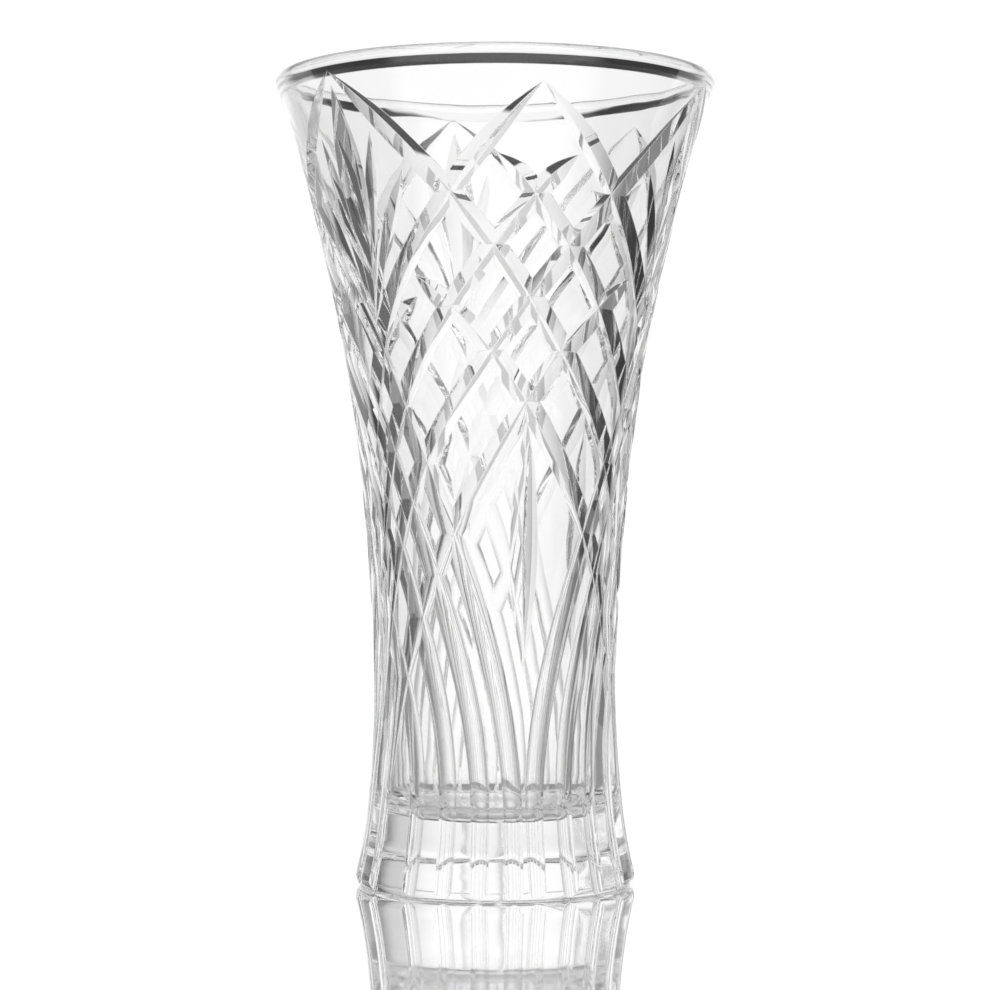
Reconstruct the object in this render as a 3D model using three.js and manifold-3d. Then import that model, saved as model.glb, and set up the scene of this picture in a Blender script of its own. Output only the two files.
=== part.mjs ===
// A flared vase in clear cut crystal, 299 mm tall: one solid piece of glass with a thick base, a narrow
// waist and a wide plain rim. V-shaped cuts cover the outside. Every cut starts high on the wall and
// runs down to the foot as an upright flute, and the whole pattern repeats three times round the vase.
// Millimetres, +Z up. The origin is the centre of the foot's resting face, and angles are in degrees
// round +Z, from the front (-Y) towards the right (+X).
import * as THREE from "three";
import { mergeVertices } from "three/addons/utils/BufferGeometryUtils.js";
import Module from "manifold-3d";

// Heights, and how far the foot's rounded corner reaches in under the vase.
const HEIGHT = 299;
const RIM_WIDEST = 296;
const FOOT_CORNER = 4;
const FOOT_ROUND = 3;
const FLOOR_HEIGHT = 25;
const LIP_START = 292.2;

// Outer wall, as [height, radius]: the foot's widest ring, the waist at 72 mm, and the flare.
const OUTER_WALL = [
  [4, 51.6], [31, 47.0], [72, 44.8], [135, 48.2], [194, 55.6], [246, 66.6], [276, 74.6], [296, 81.4],
];

// Glass thickness, as [height, thickness]: thick in the base and behind the cuts, thin near the rim. In the
// lip the inside leans back towards the middle, in degrees, so the glass thickens again.
const THICKNESS = [[32, 8.6], [72, 6.6], [135, 6.2], [246, 5.0], [292, 4.1]];
const LIP_LEAN = 3.5;
const CAVITY_CORNER = 13;

// The pattern: one repeat has an arch of diamonds at its middle and a fan of leaves at its edge.
const REPEATS = 3;
const REPEAT_ANGLE = 360 / REPEATS;

// Middle of each long cut, as [height, angle to the right of the arch], down to where the flute is upright.
// The first point is its fine upper tip, and it widens to its full section over its taper's height.
const FLUTE_TOP = 28;
const LONG_CUTS = [
  { path: [[286, 0], [248.5, 27], [195, 60], [FLUTE_TOP, 115.3]], taper: 24 },
  { path: [[293, -60], [213, 0], [125, 60], [FLUTE_TOP, 86.5]], taper: 24 },
  { path: [[262, -12], [248.5, 0], [159, 60], [FLUTE_TOP, 101]], taper: 9 },
  { path: [[221, -40], [176.5, 0], [78, 60], [FLUTE_TOP, 71]], taper: 9 },
];

// Section of a long cut, square to its length. The included angle is about 120 degrees.
const CUT_HALF_WIDTH = 4.0;
const FLUTE_HALF_WIDTH = 3.4;
const FLUTE_MIDDLE = 14;
const CUT_SLOPE = 0.56;
const CUT_STEPS = 12;
const STEP_CROWDING = 1.3;

// Leaves, each a lens-shaped cut: its two tips, its half width, and how far up its length it is widest.
const LEAF_STEPS = 6;
const TIP_HALF_WIDTH = 0.15;
const FAN_ROOT = 205;
const FAN_LEAVES = [
  { angle: 0, tip: 288, halfWidth: 7.4, widest: 0.6 },
  { angle: 10.5, tip: 271, halfWidth: 2.8, widest: 0.7 },
  { angle: 20, tip: 258, halfWidth: 2.9, widest: 0.7 },
];
const LOW_LEAF = { bottom: 81, top: 171, halfWidth: 5.6, slope: 0.45, widest: 0.5 };

// Facets.
const SIDES = 48;
const ARC_STEPS = 3;
const LIP_STEPS = 6;
const FOOT_STEPS = 2;
const OUTER_RINGS = [FOOT_CORNER, 17, 38, 72, 108, 146, 186, 224, 260, 280, RIM_WIDEST];
const INNER_RINGS = [RIM_WIDEST, LIP_START, 255, 205, 150, 95, FLOOR_HEIGHT + CAVITY_CORNER];
const CUTTER_LIFT = 2.5;
const CUTTER_BELOW_FOOT = 3;
const SLOPE_SPAN = 1;
const WELD = 1e-4;

const wasm = await Module();
wasm.setup();

// A smooth curve through [position, value] pairs, with a slope at its first and last pair if one is given.
function smoothCurve(pairs, firstSlope, lastSlope) {
  const points = [...pairs].sort((a, b) => a[0] - b[0]);
  const last = points.length - 1;
  const gap = (i) => points[i + 1][0] - points[i][0];
  const rise = (i) => (points[i + 1][1] - points[i][1]) / gap(i);
  const slopes = points.map(() => 0);
  for (let i = 1; i < last; i += 1) {
    slopes[i] = (rise(i - 1) * gap(i - 1) + rise(i) * gap(i)) / (gap(i - 1) + gap(i));
  }
  slopes[0] = firstSlope ?? 2 * rise(0) - slopes[1];
  slopes[last] = lastSlope ?? 2 * rise(last - 1) - slopes[last - 1];
  return (position) => {
    if (position <= points[0][0]) return points[0][1] + slopes[0] * (position - points[0][0]);
    if (position >= points[last][0]) return points[last][1] + slopes[last] * (position - points[last][0]);
    const i = points.findIndex((point) => point[0] > position) - 1;
    const t = (position - points[i][0]) / gap(i);
    const start = (1 + 2 * t) * (1 - t) ** 2 * points[i][1] + t * (1 - t) ** 2 * gap(i) * slopes[i];
    const end = t ** 2 * (3 - 2 * t) * points[i + 1][1] + t ** 2 * (t - 1) * gap(i) * slopes[i + 1];
    return start + end;
  };
}

const wallRadius = smoothCurve(OUTER_WALL);
const thickness = smoothCurve(THICKNESS);

function cavityRadius(height) {
  const below = Math.min(height, LIP_START);
  const inward = Math.tan(THREE.MathUtils.degToRad(LIP_LEAN)) * (Math.max(height, LIP_START) - LIP_START);
  return wallRadius(below) - thickness(below) - inward;
}

// The closed outline of the uncut glass, from the middle of the underside round to the cavity's floor.
function bodyOutline() {
  const outline = [new THREE.Vector2(0, 0)];
  for (let step = 0; step < FOOT_STEPS; step += 1) {
    const turn = (step / FOOT_STEPS) * (Math.PI / 2);
    const radius = wallRadius(FOOT_CORNER) - FOOT_ROUND * (1 - Math.sin(turn));
    outline.push(new THREE.Vector2(radius, FOOT_CORNER * (1 - Math.cos(turn))));
  }
  for (const height of OUTER_RINGS) {
    outline.push(new THREE.Vector2(wallRadius(height), height));
  }
  const lipHalf = (wallRadius(RIM_WIDEST) - cavityRadius(RIM_WIDEST)) / 2;
  for (let step = 1; step < LIP_STEPS; step += 1) {
    const turn = (step / LIP_STEPS) * Math.PI;
    const radius = wallRadius(RIM_WIDEST) - lipHalf * (1 - Math.cos(turn));
    outline.push(new THREE.Vector2(radius, RIM_WIDEST + (HEIGHT - RIM_WIDEST) * Math.sin(turn)));
  }
  for (const height of INNER_RINGS) {
    outline.push(new THREE.Vector2(cavityRadius(height), height));
  }
  const cornerTop = outline[outline.length - 1];
  for (let step = 1; step <= ARC_STEPS; step += 1) {
    const turn = (step / ARC_STEPS) * (Math.PI / 2);
    const radius = cornerTop.x - CAVITY_CORNER * (1 - Math.cos(turn));
    outline.push(new THREE.Vector2(radius, FLOOR_HEIGHT + CAVITY_CORNER * (1 - Math.sin(turn))));
  }
  outline.push(new THREE.Vector2(0, FLOOR_HEIGHT));
  return outline;
}

// Turns a three.js geometry into a solid that can be cut.
function toSolid(geometry) {
  const bare = geometry.clone();
  bare.deleteAttribute("normal");
  bare.deleteAttribute("uv");
  const merged = mergeVertices(bare, WELD);
  const vertProperties = new Float32Array(merged.attributes.position.array);
  const triVerts = new Uint32Array(merged.index.array);
  return new wasm.Manifold(new wasm.Mesh({ numProp: 3, vertProperties, triVerts }));
}

// Turns a solid back into a three.js geometry.
function toGeometry(solid) {
  const mesh = solid.getMesh();
  const geometry = new THREE.BufferGeometry();
  geometry.setAttribute("position", new THREE.BufferAttribute(new Float32Array(mesh.vertProperties), 3));
  geometry.setIndex(new THREE.BufferAttribute(new Uint32Array(mesh.triVerts), 1));
  geometry.computeVertexNormals();
  return geometry;
}

// A point of the uncut outer wall.
function wallPoint(angle, height) {
  const turn = THREE.MathUtils.degToRad(angle);
  const radius = wallRadius(height);
  return new THREE.Vector3(radius * Math.sin(turn), -radius * Math.cos(turn), height);
}

// The outward direction of the wall at an angle and height.
function wallNormal(angle, height) {
  const turn = THREE.MathUtils.degToRad(angle);
  const lean = (wallRadius(height + SLOPE_SPAN) - wallRadius(height - SLOPE_SPAN)) / (2 * SLOPE_SPAN);
  return new THREE.Vector3(Math.sin(turn), -Math.cos(turn), -lean).normalize();
}

// The solid that a V-shaped cut removes. Each station is { angle, height, halfWidth }, from the top down.
function cutterGeometry(stations, slope) {
  const points = stations.map((station) => wallPoint(station.angle, station.height));
  const positions = [];
  stations.forEach((station, i) => {
    const before = points[Math.max(i - 1, 0)];
    const after = points[Math.min(i + 1, points.length - 1)];
    const normal = wallNormal(station.angle, station.height);
    const side = after.clone().sub(before).cross(normal).normalize();
    const depth = station.halfWidth * slope;
    const reach = station.halfWidth + CUTTER_LIFT / slope;
    const valley = points[i].clone().addScaledVector(normal, -depth);
    const top = points[i].clone().addScaledVector(normal, CUTTER_LIFT);
    const left = top.clone().addScaledVector(side, -reach);
    const right = top.clone().addScaledVector(side, reach);
    positions.push(...valley.toArray(), ...left.toArray(), ...right.toArray());
  });
  const triangles = [0, 2, 1];
  for (let i = 0; i < stations.length - 1; i += 1) {
    for (let corner = 0; corner < 3; corner += 1) {
      const here = 3 * i + corner;
      const beside = 3 * i + ((corner + 1) % 3);
      triangles.push(here, beside, here + 3, beside, beside + 3, here + 3);
    }
  }
  const end = 3 * (stations.length - 1);
  triangles.push(end, end + 1, end + 2);
  const geometry = new THREE.BufferGeometry();
  geometry.setAttribute("position", new THREE.Float32BufferAttribute(positions, 3));
  geometry.setIndex(triangles);
  return geometry;
}

// One long cut down to the foot. It starts as a fine tip and widens over its taper's height.
function longCut({ path, taper }, repeatAngle, hand) {
  const angleAt = smoothCurve(path, 0);
  const start = path[0][0];
  const stations = [];
  for (let step = 0; step <= CUT_STEPS; step += 1) {
    const height = start + (FLUTE_TOP - start) * (step / CUT_STEPS) ** STEP_CROWDING;
    const opening = Math.sin((Math.PI / 2) * Math.min(1, (start - height) / taper));
    const upright = Math.max(0, 1 - (height - FLUTE_TOP) / (2 * FLUTE_TOP));
    const fullWidth = THREE.MathUtils.lerp(CUT_HALF_WIDTH, FLUTE_HALF_WIDTH, upright);
    const halfWidth = Math.max(TIP_HALF_WIDTH, fullWidth * opening);
    stations.push({ angle: repeatAngle + hand * angleAt(height), height, halfWidth });
  }
  const fluteAngle = repeatAngle + hand * angleAt(FLUTE_TOP);
  for (const height of [FLUTE_MIDDLE, FOOT_CORNER, -CUTTER_BELOW_FOOT]) {
    stations.push({ angle: fluteAngle, height, halfWidth: FLUTE_HALF_WIDTH });
  }
  return toSolid(cutterGeometry(stations, CUT_SLOPE));
}

// One leaf: a straight cut that is widest part of the way up and runs out to a point at both ends.
function leafCut(bottom, top, { halfWidth, widest }, slope) {
  const stations = [];
  for (let step = 0; step <= LEAF_STEPS; step += 1) {
    const along = 1 - step / LEAF_STEPS;
    const swell = along < widest ? along / widest : (1 - along) / (1 - widest);
    stations.push({
      angle: THREE.MathUtils.lerp(bottom.angle, top.angle, along),
      height: THREE.MathUtils.lerp(bottom.height, top.height, along),
      halfWidth: Math.max(TIP_HALF_WIDTH, halfWidth * Math.sin((swell * Math.PI) / 2)),
    });
  }
  return toSolid(cutterGeometry(stations, slope));
}

// All the cuts of one repeat of the pattern.
function repeatCuts(repeatAngle) {
  const cuts = [];
  for (const cut of LONG_CUTS) {
    cuts.push(longCut(cut, repeatAngle, 1), longCut(cut, repeatAngle, -1));
  }
  const fanAngle = repeatAngle + REPEAT_ANGLE / 2;
  for (const leaf of FAN_LEAVES) {
    const hands = leaf.angle === 0 ? [1] : [1, -1];
    for (const hand of hands) {
      const bottom = { angle: fanAngle, height: FAN_ROOT };
      const top = { angle: fanAngle + hand * leaf.angle, height: leaf.tip };
      cuts.push(leafCut(bottom, top, leaf, CUT_SLOPE));
    }
  }
  const lowBottom = { angle: repeatAngle, height: LOW_LEAF.bottom };
  const lowTop = { angle: repeatAngle, height: LOW_LEAF.top };
  cuts.push(leafCut(lowBottom, lowTop, LOW_LEAF, LOW_LEAF.slope));
  return cuts;
}

function makeVaseBody() {
  const lathe = new THREE.LatheGeometry(bodyOutline(), SIDES);
  lathe.rotateX(Math.PI / 2);
  let solid = toSolid(lathe);
  for (let repeat = 0; repeat < REPEATS; repeat += 1) {
    for (const cut of repeatCuts(repeat * REPEAT_ANGLE)) {
      solid = solid.subtract(cut);
    }
  }
  const crystal = new THREE.MeshStandardMaterial({ color: 0xe6ecee, roughness: 0.05, metalness: 0 });
  const body = new THREE.Mesh(toGeometry(solid), crystal);
  body.name = "vase_body";
  return body;
}

const vase = new THREE.Group();
vase.add(makeVaseBody());

export default vase;
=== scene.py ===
import math

import bmesh
import bpy
import numpy as np
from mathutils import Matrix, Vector


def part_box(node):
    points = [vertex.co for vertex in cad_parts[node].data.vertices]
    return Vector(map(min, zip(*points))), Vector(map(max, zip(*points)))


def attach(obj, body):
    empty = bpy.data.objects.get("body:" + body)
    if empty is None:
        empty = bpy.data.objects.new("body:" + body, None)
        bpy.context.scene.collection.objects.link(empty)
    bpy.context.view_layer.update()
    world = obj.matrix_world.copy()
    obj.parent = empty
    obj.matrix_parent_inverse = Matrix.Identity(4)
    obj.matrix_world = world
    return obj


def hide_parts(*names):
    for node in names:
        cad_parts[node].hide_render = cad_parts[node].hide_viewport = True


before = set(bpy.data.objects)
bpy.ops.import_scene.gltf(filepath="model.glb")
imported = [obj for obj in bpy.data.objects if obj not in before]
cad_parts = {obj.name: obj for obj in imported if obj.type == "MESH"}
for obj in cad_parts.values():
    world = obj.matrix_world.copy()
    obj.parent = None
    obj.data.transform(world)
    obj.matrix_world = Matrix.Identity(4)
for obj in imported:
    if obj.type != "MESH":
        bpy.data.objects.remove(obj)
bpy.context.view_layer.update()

MM = 0.001
NODE = "vase_body"
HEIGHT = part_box(NODE)[1].z / MM

# Shape of the glass in millimetres: the outer wall as (height, radius) and the glass as (height, thickness).
# The CAD solid has the same driving sizes.
OUTER_WALL = [
    (4, 51.6), (31, 47.0), (72, 44.8), (135, 48.2), (194, 55.6), (246, 66.6), (276, 74.6), (296, 81.4),
]
THICKNESS = [(32, 8.6), (72, 6.6), (135, 6.2), (246, 5.0), (292, 4.1)]
FOOT_TOP = 4
FOOT_ROUND = 3
LIP_START = 292.2
LIP_LEAN = 3.5
RIM_WIDEST = 296
FLOOR_HEIGHT = 25
CAVITY_CORNER = 13

# Long cuts: the middle of each as (height, degrees to the right of the arch), and its taper's height. Below
# FLUTE_TOP they are upright. Their section is a V above HOLLOW_START and a round flute below HOLLOW_FULL.
FLUTE_TOP = 28
LONG_CUTS = [
    ([(286, 0), (248.5, 27), (195, 60), (FLUTE_TOP, 115.3)], 24),
    ([(293, -60), (213, 0), (125, 60), (FLUTE_TOP, 86.5)], 24),
    ([(262, -12), (248.5, 0), (159, 60), (FLUTE_TOP, 101)], 9),
    ([(221, -40), (176.5, 0), (78, 60), (FLUTE_TOP, 71)], 9),
]
CUT_HALF_WIDTH = 4.0
FLUTE_HALF_WIDTH = 3.4
CUT_SLOPE = 0.56
HOLLOW_START = 150
HOLLOW_FULL = 60

# Leaves of a fan: (degrees from the fan's middle, upper tip, half width, widest place up its length), and the
# leaf low in each arch: (lower tip, upper tip, half width, slope, widest place).
REPEATS = 3
FAN_ROOT = 205
FAN_LEAVES = [(0, 288, 7.4, 0.6), (10.5, 271, 2.8, 0.7), (20, 258, 2.9, 0.7)]
LOW_LEAF = (81, 171, 5.6, 0.45, 0.5)

# Fineness of the glass mesh.
SIDES = 240
RING_STEP = 3.0
CAVITY_RING_STEP = 4.5
ARC_STEPS = 10
SLOPE_SPAN = 0.5

# An edge of the glass is crisp past CREASE, or past ROUND_CREASE where it is within a margin of the rim, the
# foot's rounding or the cavity.
CREASE = math.radians(14)
ROUND_CREASE = math.radians(20)
RIM_MARGIN = 2
FOOT_MARGIN = 0.5
CAVITY_MARGIN = 1

# The cutters: steps down a cut and across it, how far they stand proud of the wall, and their finest tip.
CUTTER_STEP = 3.0
TAPER_STEPS = 12
LEAF_STEPS = 29
SECTION_STEPS = 5
CUTTER_LIFT = 2.5
TIP_HALF_WIDTH = 0.05
FOOT_HEIGHTS = [FLUTE_TOP, 20, 12, FOOT_TOP, -3]


def smooth_curve(pairs, first_slope=None):
    """A smooth curve through (position, value) pairs, with its slope at the lowest pair if one is given."""
    x, y = np.array(sorted(pairs), dtype=float).T
    gap = np.diff(x)
    rise = np.diff(y) / gap
    slope = np.empty_like(x)
    slope[1:-1] = (rise[:-1] * gap[:-1] + rise[1:] * gap[1:]) / (gap[:-1] + gap[1:])
    slope[0] = 2 * rise[0] - slope[1] if first_slope is None else first_slope
    slope[-1] = 2 * rise[-1] - slope[-2]

    def value(at):
        at = np.asarray(at, dtype=float)
        i = np.clip(np.searchsorted(x, at, side="right") - 1, 0, len(gap) - 1)
        t = np.clip((at - x[i]) / gap[i], 0, 1)
        start = (1 + 2 * t) * (1 - t) ** 2 * y[i] + t * (1 - t) ** 2 * gap[i] * slope[i]
        end = t**2 * (3 - 2 * t) * y[i + 1] + t**2 * (t - 1) * gap[i] * slope[i + 1]
        beyond = slope[0] * np.minimum(at - x[0], 0) + slope[-1] * np.maximum(at - x[-1], 0)
        return start + end + beyond

    return value


wall_radius = smooth_curve(OUTER_WALL)
thickness = smooth_curve(THICKNESS)


def cavity_radius(height):
    """The cavity follows the wall up to the lip, where it leans back in a little and thickens the glass."""
    below = np.minimum(height, LIP_START)
    inward = (np.maximum(height, LIP_START) - LIP_START) * math.tan(math.radians(LIP_LEAN))
    return wall_radius(below) - thickness(below) - inward


def new_object(name, vertices, faces):
    mesh = bpy.data.meshes.new(name)
    mesh.from_pydata([tuple(v) for v in vertices], [], faces)
    made = bpy.data.objects.new(name, mesh)
    bpy.context.scene.collection.objects.link(made)
    return made


# ---------------------------------------------------------------- the glass


def body_outline():
    """The outline of the uncut glass, as (radius, height), from the underside to the cavity's floor."""
    quarter = np.linspace(0, math.pi / 2, ARC_STEPS + 1)
    foot = wall_radius(FOOT_TOP)
    points = [(0.0, 0.0)]
    points += [(foot - FOOT_ROUND * (1 - math.sin(t)), FOOT_TOP * (1 - math.cos(t))) for t in quarter]
    rings = np.linspace(FOOT_TOP, RIM_WIDEST, round((RIM_WIDEST - FOOT_TOP) / RING_STEP))
    points += [(wall_radius(z), z) for z in rings[1:]]
    half = (wall_radius(RIM_WIDEST) - cavity_radius(RIM_WIDEST)) / 2
    middle = wall_radius(RIM_WIDEST) - half
    lip = HEIGHT - RIM_WIDEST
    turns = np.linspace(0, math.pi, 2 * ARC_STEPS + 1)[1:]
    points += [(middle + half * math.cos(t), RIM_WIDEST + lip * math.sin(t)) for t in turns]
    corner_top = FLOOR_HEIGHT + CAVITY_CORNER
    rings = np.linspace(LIP_START, corner_top, round((LIP_START - corner_top) / CAVITY_RING_STEP))
    points += [(cavity_radius(z), z) for z in rings]
    side = points[-1][0]
    for t in quarter[1:]:
        points.append((side - CAVITY_CORNER * (1 - math.cos(t)), corner_top - CAVITY_CORNER * math.sin(t)))
    points.append((0.0, FLOOR_HEIGHT))
    return points


def lathe(name, outline):
    """A closed solid of revolution round Z, in triangles."""
    ring = [(r, z) for r, z in outline if r > 0]
    turn = np.arange(SIDES) * 2 * math.pi / SIDES
    vertices = [(r * math.sin(t) * MM, -r * math.cos(t) * MM, z * MM) for r, z in ring for t in turn]
    bottom = len(vertices)
    vertices += [(0, 0, outline[0][1] * MM), (0, 0, outline[-1][1] * MM)]
    faces = []
    for side in range(SIDES):
        after = (side + 1) % SIDES
        faces.append((bottom, after, side))
        for row in range(len(ring) - 1):
            a = row * SIDES + side
            b = row * SIDES + after
            faces += [(a, b, b + SIDES), (a, b + SIDES, a + SIDES)]
        last = (len(ring) - 1) * SIDES
        faces.append((last + side, last + after, bottom + 1))
    return new_object(name, vertices, faces)


def wall_frame(angle, height):
    """Points of the uncut outer wall, and the outward direction there."""
    turn = np.radians(angle)
    out = np.stack([np.sin(turn), -np.cos(turn), np.zeros_like(turn)], axis=-1)
    point = out * wall_radius(height)[:, None]
    point[:, 2] = height
    lean = (wall_radius(height + SLOPE_SPAN) - wall_radius(height - SLOPE_SPAN)) / (2 * SLOPE_SPAN)
    normal = out.copy()
    normal[:, 2] = -lean
    return point, normal / np.linalg.norm(normal, axis=1, keepdims=True)


def cutter(angle, height, half_width, slope, hollow):
    """The solid that one cut removes, with its stations from the top down.

    Its section is a V where hollow is 0 and a round-bottomed flute where hollow is 1.
    """
    point, normal = wall_frame(angle, height)
    side = np.cross(np.gradient(point, axis=0), normal)
    side /= np.linalg.norm(side, axis=1, keepdims=True)
    across = np.linspace(-1, 1, 2 * SECTION_STEPS + 1)
    below = hollow[:, None] * (1 - across**2) + (1 - hollow[:, None]) * (1 - np.abs(across))
    drop = below * (half_width * slope)[:, None]
    run = across * half_width[:, None]
    reach = CUTTER_LIFT / slope
    proud = np.full((len(height), 1), -CUTTER_LIFT)
    drop = np.concatenate([proud, drop, proud], 1)
    run = np.concatenate([run[:, :1] - reach, run, run[:, -1:] + reach], 1)
    vertices = point[:, None] - normal[:, None] * drop[..., None] + side[:, None] * run[..., None]
    count = run.shape[1]
    faces = [tuple(range(count))]
    for i in range(len(height) - 1):
        for corner in range(count):
            here = count * i + corner
            beside = count * i + (corner + 1) % count
            faces += [(here, here + count, beside), (beside, here + count, beside + count)]
    end = count * (len(height) - 1)
    faces.append(tuple(reversed(range(end, end + count))))
    return new_object("cutter", vertices.reshape(-1, 3) * MM, faces)


def long_cutter(path, taper, arch_angle, hand):
    """One long cut, from its fine tip down to an upright flute that runs out under the foot."""
    start = path[0][0]
    fine = start - np.linspace(0, 1, TAPER_STEPS) ** 2 * taper
    height = np.concatenate([fine, np.arange(fine[-1] - CUTTER_STEP, FLUTE_TOP, -CUTTER_STEP)])
    upright = np.clip(1 - (height - FLUTE_TOP) / (2 * FLUTE_TOP), 0, 1)
    half_width = CUT_HALF_WIDTH + (FLUTE_HALF_WIDTH - CUT_HALF_WIDTH) * upright
    half_width *= np.sin(math.pi / 2 * np.clip((start - height) / taper, 0, 1))
    foot = np.array(FOOT_HEIGHTS, dtype=float)
    height = np.concatenate([height, foot])
    half_width = np.concatenate([half_width, np.full(len(foot), FLUTE_HALF_WIDTH)])
    half_width = np.maximum(half_width, TIP_HALF_WIDTH)
    along = smooth_curve(path, 0)(np.maximum(height, FLUTE_TOP))
    hollow = np.clip((HOLLOW_START - height) / (HOLLOW_START - HOLLOW_FULL), 0, 1)
    return cutter(arch_angle + hand * along, height, half_width, CUT_SLOPE, hollow)


def leaf_cutter(bottom, top, half_width, slope, widest):
    """One straight leaf from its lower to its upper tip, each (degrees, height)."""
    up = np.linspace(1, 0, LEAF_STEPS)
    swell = np.where(up < widest, up / widest, (1 - up) / (1 - widest))
    angle = bottom[0] + (top[0] - bottom[0]) * up
    height = bottom[1] + (top[1] - bottom[1]) * up
    width = np.maximum(half_width * np.sin(swell * math.pi / 2), TIP_HALF_WIDTH)
    return cutter(angle, height, width, slope, np.zeros_like(height))


def all_cutters():
    made = []
    for repeat in range(REPEATS):
        arch = repeat * 360 / REPEATS
        fan = arch + 180 / REPEATS
        for hand in (1, -1):
            for path, taper in LONG_CUTS:
                made.append(long_cutter(path, taper, arch, hand))
            for angle, tip, half_width, widest in FAN_LEAVES:
                if angle or hand > 0:
                    top = (fan + hand * angle, tip)
                    made.append(leaf_cutter((fan, FAN_ROOT), top, half_width, CUT_SLOPE, widest))
        low, high, half_width, slope, widest = LOW_LEAF
        made.append(leaf_cutter((arch, low), (arch, high), half_width, slope, widest))
    return made


def set_creases(mesh):
    """Smooth shading, with a crisp crease wherever a cut meets the wall or another cut."""
    work = bmesh.new()
    work.from_mesh(mesh)
    bmesh.ops.triangulate(work, faces=work.faces)
    for face in work.faces:
        face.smooth = True
        face.material_index = 0
    for edge in work.edges:
        middle = (edge.verts[0].co + edge.verts[1].co) / 2 / MM
        radius = math.hypot(middle.x, middle.y)
        inside = radius < cavity_radius(middle.z) + CAVITY_MARGIN
        rounded = inside or middle.z > RIM_WIDEST - RIM_MARGIN or middle.z < FOOT_TOP + FOOT_MARGIN
        edge.smooth = edge.calc_face_angle(0) < (ROUND_CREASE if rounded else CREASE)
    work.to_mesh(mesh)
    work.free()


def make_glass_body():
    body = lathe("crystal_body", body_outline())
    tools = all_cutters()
    for tool in tools:
        cut = body.modifiers.new("cut", "BOOLEAN")
        cut.operation = "DIFFERENCE"
        cut.solver = "MANIFOLD"
        cut.object = tool
    shaped = bpy.data.meshes.new_from_object(body.evaluated_get(bpy.context.evaluated_depsgraph_get()))
    body.modifiers.clear()
    body.data = shaped
    shaped.name = "crystal_body"
    shaped.materials.clear()
    for tool in tools:
        bpy.data.objects.remove(tool)
    set_creases(shaped)
    return body


# ---------------------------------------------------------------- materials

# The crystal: its ripple's size (per metre) and height, and its edges' rounding, in millimetres.
CRYSTAL_IOR = 1.53
RIPPLE_SCALE = 45
RIPPLE_HEIGHT = 0.3
EDGE_RADIUS = 0.5
EDGE_SAMPLES = 4


def new_material(name):
    made = bpy.data.materials.new(name)
    made.use_nodes = True
    return made, made.node_tree.nodes, made.node_tree.links


def crystal_material():
    """Clear crystal with slightly rounded edges and the faint ripple that fire polish leaves."""
    made, nodes, links = new_material("crystal")
    glass = nodes["Principled BSDF"]
    glass.inputs["Base Color"].default_value = (1, 1, 1, 1)
    glass.inputs["Transmission Weight"].default_value = 1
    glass.inputs["IOR"].default_value = CRYSTAL_IOR
    glass.inputs["Roughness"].default_value = 0.0
    place = nodes.new("ShaderNodeTexCoord").outputs["Object"]
    ripple = nodes.new("ShaderNodeTexNoise")
    ripple.inputs["Scale"].default_value = RIPPLE_SCALE
    ripple.inputs["Detail"].default_value = 1.0
    links.new(place, ripple.inputs["Vector"])
    rounding = nodes.new("ShaderNodeBevel")
    rounding.samples = EDGE_SAMPLES
    rounding.inputs["Radius"].default_value = EDGE_RADIUS * MM
    polish = nodes.new("ShaderNodeBump")
    polish.inputs["Strength"].default_value = 1.0
    polish.inputs["Distance"].default_value = RIPPLE_HEIGHT * MM
    links.new(ripple.outputs["Fac"], polish.inputs["Height"])
    links.new(rounding.outputs["Normal"], polish.inputs["Normal"])
    links.new(polish.outputs["Normal"], glass.inputs["Normal"])
    return made


def floor_material():
    made, nodes, links = new_material("white_table")
    white = nodes["Principled BSDF"]
    white.inputs["Base Color"].default_value = (0.93, 0.93, 0.93, 1)
    white.inputs["Metallic"].default_value = 0.72
    white.inputs["Roughness"].default_value = 0.03
    white.inputs["Emission Color"].default_value = (1, 1, 1, 1)
    white.inputs["Emission Strength"].default_value = 0.1
    return made


# ---------------------------------------------------------------- the studio

# The camera, in metres and degrees, with its lens and sensor in millimetres.
CAMERA_DISTANCE = 1.020
CAMERA_HEIGHT = 0.1355
CAMERA_TURN = -12.5
AIM_HEIGHT = 0.144
LENS = 99.9
SENSOR = 36

# The tent: in metres its radius, the height its panels are measured from and its open bottom, then its glow
# between the panels, its plain white, and in degrees the top of the white sweep behind the vase.
TENT_RADIUS = 1.3
TENT_EYE = 0.2
TENT_BOTTOM = -0.1
TENT_SIDES = 96
BASE_GLOW = 0.03
WHITE_GLOW = 1.05
SWEEP_TOP = 25.1
FLOOR_GAP = 0.2 * MM
LIGHT_BOUNCES = 64


def make_camera():
    turn = math.radians(CAMERA_TURN)
    data = bpy.data.cameras.new("camera")
    data.lens = LENS
    data.sensor_width = SENSOR
    camera = bpy.data.objects.new("camera", data)
    camera.location = (CAMERA_DISTANCE * math.sin(turn), -CAMERA_DISTANCE * math.cos(turn), CAMERA_HEIGHT)
    aim = Vector((0, 0, AIM_HEIGHT)) - camera.location
    camera.rotation_euler = aim.to_track_quat("-Z", "Y").to_euler()
    bpy.context.scene.collection.objects.link(camera)
    bpy.context.scene.camera = camera


def make_floor():
    size = TENT_RADIUS
    corners = [(-size, -size, 0), (size, -size, 0), (size, size, 0), (-size, size, 0)]
    floor = new_object("white_floor", corners, [(0, 1, 2, 3)])
    floor.location.z = -FLOOR_GAP
    floor.data.materials.append(floor_material())


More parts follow.
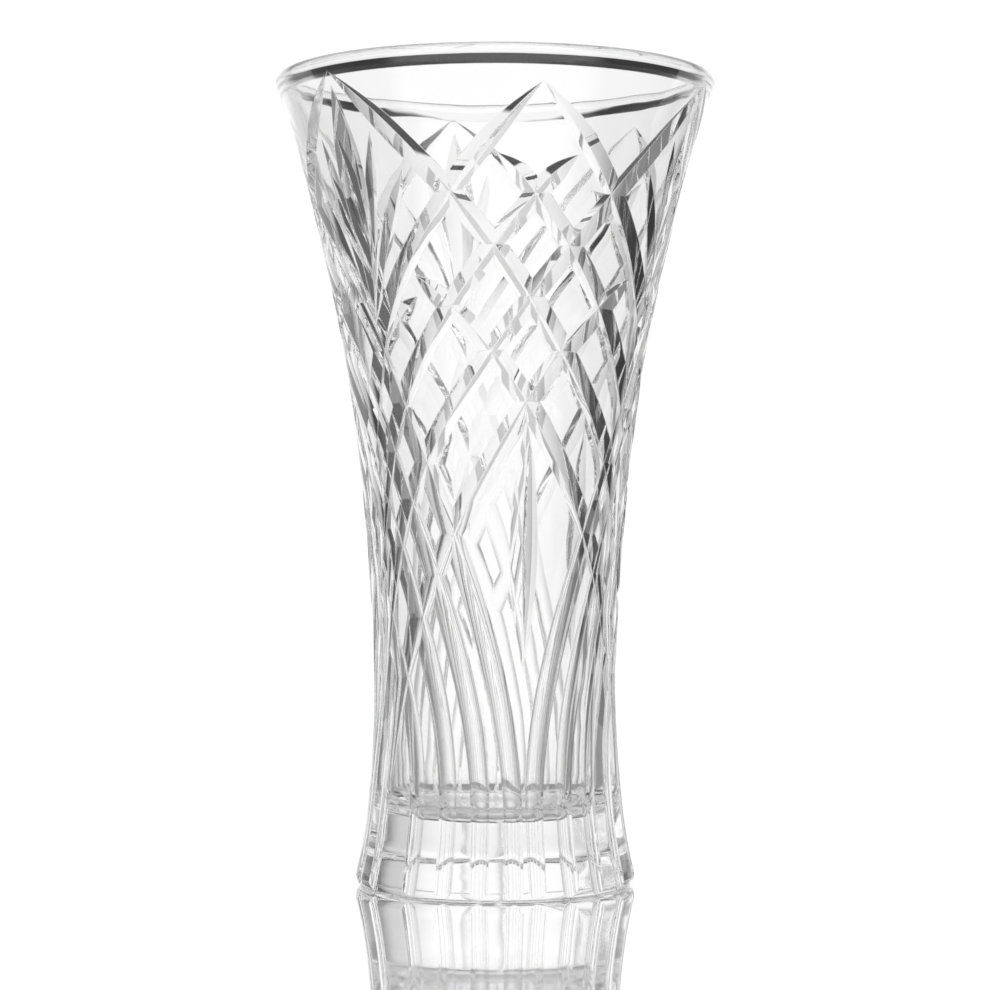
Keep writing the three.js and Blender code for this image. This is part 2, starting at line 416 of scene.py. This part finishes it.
class Tent:
    """A white studio tent round the vase, whose glow depends on the direction from the vase.

    Angles run round the vase from straight behind it, positive to the camera's right, and up from level.
    """

    def __init__(self):
        self.material, self.nodes, self.links = new_material("studio_tent")
        self.nodes.clear()
        place = self.nodes.new("ShaderNodeNewGeometry").outputs["Position"]
        ray = self.nodes.new("ShaderNodeVectorMath")
        ray.operation = "SUBTRACT"
        ray.inputs[1].default_value = (0, 0, TENT_EYE)
        self.links.new(place, ray.inputs[0])
        parts = self.nodes.new("ShaderNodeSeparateXYZ")
        self.links.new(ray.outputs[0], parts.inputs[0])
        self.x, self.y, self.z = parts.outputs
        squares = [self.math("MULTIPLY", part, part) for part in (self.x, self.y)]
        self.flat = self.math("SQRT", self.math("ADD", *squares))
        self.level = self.math("ARCTAN2", self.z, self.flat)
        self.glow = BASE_GLOW

    def math(self, operation, *values):
        node = self.nodes.new("ShaderNodeMath")
        node.operation = operation
        return self.join(node, *values)

    def join(self, node, *values):
        for socket, value in zip(node.inputs, values):
            if isinstance(value, (int, float)):
                socket.default_value = value
            else:
                self.links.new(value, socket)
        return node.outputs[0]

    def ramp(self, value, start, full):
        """0 before start and 1 past full, smoothly."""
        node = self.nodes.new("ShaderNodeMapRange")
        node.interpolation_type = "SMOOTHSTEP"
        return self.join(node, value, start, full)

    def panel(self, turn, half_width, side_soft, low, high, edge_soft, glow):
        """Adds a soft upright panel of light, in degrees. A half width of 180 goes all the way round."""
        a = math.radians(CAMERA_TURN + 180 - turn)
        rightward = self.math("MULTIPLY", self.x, math.sin(a))
        forward = self.math("MULTIPLY", self.y, -math.cos(a))
        facing = self.math("DIVIDE", self.math("ADD", rightward, forward), self.flat)
        outer, inner = math.cos(math.radians(half_width + side_soft)), math.cos(math.radians(half_width))
        wide = self.ramp(facing, outer, inner) if half_width < 180 else 1
        above = self.ramp(self.level, math.radians(low - edge_soft), math.radians(low))
        below = self.ramp(self.level, math.radians(high + edge_soft), math.radians(high))
        tall = self.math("MULTIPLY", above, below)
        shape = self.math("MULTIPLY", tall, wide)
        self.glow = self.math("ADD", self.math("MULTIPLY", shape, glow), self.glow)

    def hang(self):
        """Makes the dome, plain white when seen directly or by one reflection, and panels through glass."""
        path = self.nodes.new("ShaderNodeLightPath").outputs
        first = self.math("LESS_THAN", path["Ray Depth"], 1.5)
        once = self.math("MULTIPLY", path["Is Glossy Ray"], first)
        white = self.math("MULTIPLY", self.math("MAXIMUM", path["Is Camera Ray"], once), WHITE_GLOW)
        lamp = self.nodes.new("ShaderNodeEmission")
        self.links.new(self.math("MAXIMUM", self.glow, white), lamp.inputs["Strength"])
        output = self.nodes.new("ShaderNodeOutputMaterial")
        self.links.new(lamp.outputs[0], output.inputs["Surface"])
        work = bmesh.new()
        bmesh.ops.create_uvsphere(work, u_segments=TENT_SIDES, v_segments=TENT_SIDES // 2, radius=TENT_RADIUS)
        low = [v for v in work.verts if v.co.z < TENT_BOTTOM]
        bmesh.ops.delete(work, geom=low, context="VERTS")
        mesh = bpy.data.meshes.new("studio_tent")
        work.to_mesh(mesh)
        work.free()
        dome = bpy.data.objects.new("studio_tent", mesh)
        mesh.materials.append(self.material)
        bpy.context.scene.collection.objects.link(dome)


def make_studio():
    """The white sweep behind the vase, the bright side towards the camera, dim sides and a soft top."""
    tent = Tent()
    tent.panel(0, 34, 12, -30, SWEEP_TOP, 0.8, 0.49)
    tent.panel(0, 14, 18, -30, SWEEP_TOP, 0.8, 0.38)
    tent.panel(0, 14, 26, -30, 12, 10, 0.09)
    tent.panel(180, 48, 16, -30, 55, 8, 1.1)
    tent.panel(-78, 16, 12, -30, 13, 4, 0.06)
    tent.panel(60, 16, 14, 33, 52, 6, 0.15)
    tent.panel(-60, 16, 14, 33, 52, 6, 0.2)
    tent.panel(0, 180, 0, 60, 95, 12, 0.45)
    tent.hang()


make_camera()
make_floor()
make_studio()
body = make_glass_body()
body.data.materials.append(crystal_material())
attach(body, "root")
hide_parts(NODE)

scene = bpy.context.scene
scene.view_settings.view_transform = "Standard"
scene.cycles.max_bounces = LIGHT_BOUNCES
scene.cycles.transmission_bounces = LIGHT_BOUNCES
scene.cycles.glossy_bounces = LIGHT_BOUNCES
